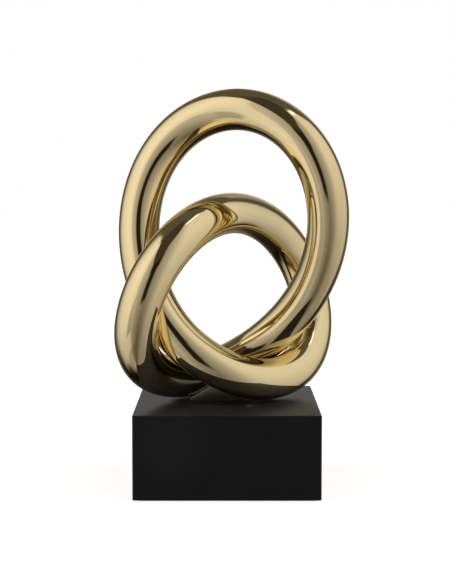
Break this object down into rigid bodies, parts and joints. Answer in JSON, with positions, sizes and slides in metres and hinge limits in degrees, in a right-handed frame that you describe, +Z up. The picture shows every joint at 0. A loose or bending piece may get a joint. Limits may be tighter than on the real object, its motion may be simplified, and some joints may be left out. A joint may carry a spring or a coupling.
{
  "type": "knot sculpture",
  "caption": "Tabletop sculpture: a closed knot of polished gold tube that passes over and under itself, fixed by a foot to a plain matt black block.",
  "frame": {"origin": "middle of the underside, where the felt rests on the table", "axes": "+X to the right as the front is seen, +Y away from the viewer, +Z up"},
  "size_m": [0.1897, 0.1657, 0.3289],
  "materials": {
    "polished_gold": "mirror polished, pale gold plating",
    "drawn_brass": "plain drawn tube",
    "zinc_steel": "zinc plated",
    "matt_black": "matt black lacquer on fibreboard",
    "black_felt": "pressed felt"
  },
  "bodies": {
    "root": {"tall_loop_tube": "polished_gold", "front_bow_tube": "polished_gold", "low_loop_tube": "polished_gold", "left_joint_sleeve": "drawn_brass", "right_joint_sleeve": "drawn_brass", "bottom_joint_sleeve": "drawn_brass", "mounting_foot": "polished_gold", "left_stud": "zinc_steel", "left_washer": "zinc_steel", "left_spring_washer": "zinc_steel", "left_nut": "zinc_steel", "right_stud": "zinc_steel", "right_washer": "zinc_steel", "right_spring_washer": "zinc_steel", "right_nut": "zinc_steel", "base_block": "matt_black", "base_felt": "black_felt"}
  },
  "joints": []
}
